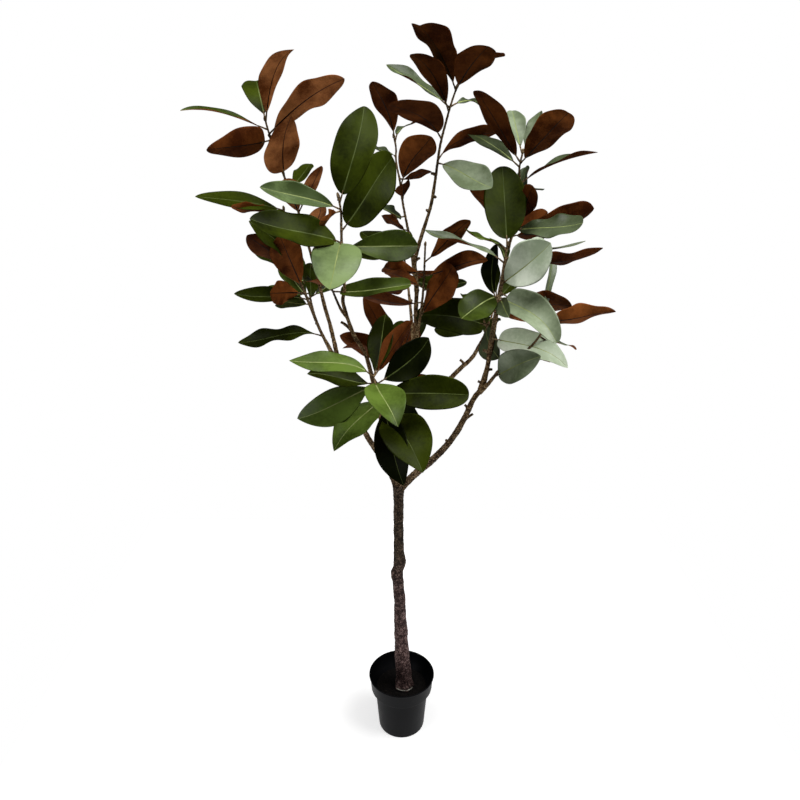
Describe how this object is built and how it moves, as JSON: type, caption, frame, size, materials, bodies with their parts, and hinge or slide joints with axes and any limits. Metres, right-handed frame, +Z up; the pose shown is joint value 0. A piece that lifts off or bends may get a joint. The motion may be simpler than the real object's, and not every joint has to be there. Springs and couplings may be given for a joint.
{
  "type": "artificial magnolia tree in a nursery pot",
  "caption": "Tall artificial magnolia tree with a slim rough trunk, slender boughs and large glossy leaves, standing in a plain black filled nursery pot.",
  "frame": {"origin": "centre of the pot's flat underside", "axes": "+Z up the trunk, -Y towards the front of the crown, +X to the right seen from the front"},
  "size_m": [0.9963, 0.8269, 1.9812],
  "materials": {
    "pot": "satin black moulded plastic",
    "filling": "rough poured filling with dark bark crumbs",
    "bark": "rough matte dark brown bark",
    "leaves": "glossy green coated upper face, matte brown underside"
  },
  "bodies": {
    "root": {"pot": "pot", "filling": "filling", "trunk": "bark", "bough_right": "bark", "bough_right_rear": "bark", "bough_right_low": "bark", "bough_inner": "bark", "bough_middle": "bark", "bough_middle_side": "bark", "bough_back_top": "bark", "bough_left": "bark", "bough_left_rear": "bark", "bough_front": "bark", "bough_front_left": "bark", "bough_centre_side": "bark", "bough_back_low": "bark", "bough_back_middle": "bark", "bough_back_right": "bark", "bough_back_left": "bark", "leaves_right_front": "leaves", "leaves_right_top": "leaves", "leaves_right_low": "leaves", "leaves_inner": "leaves", "leaves_top": "leaves", "leaves_middle": "leaves", "leaves_back_top": "leaves", "leaves_left": "leaves", "leaves_left_top": "leaves", "leaves_front_low": "leaves", "leaves_centre": "leaves", "leaves_centre_side": "leaves", "leaves_back_low": "leaves", "leaves_back_middle": "leaves", "leaves_back_right": "leaves", "leaves_back_left": "leaves"}
  },
  "joints": []
}
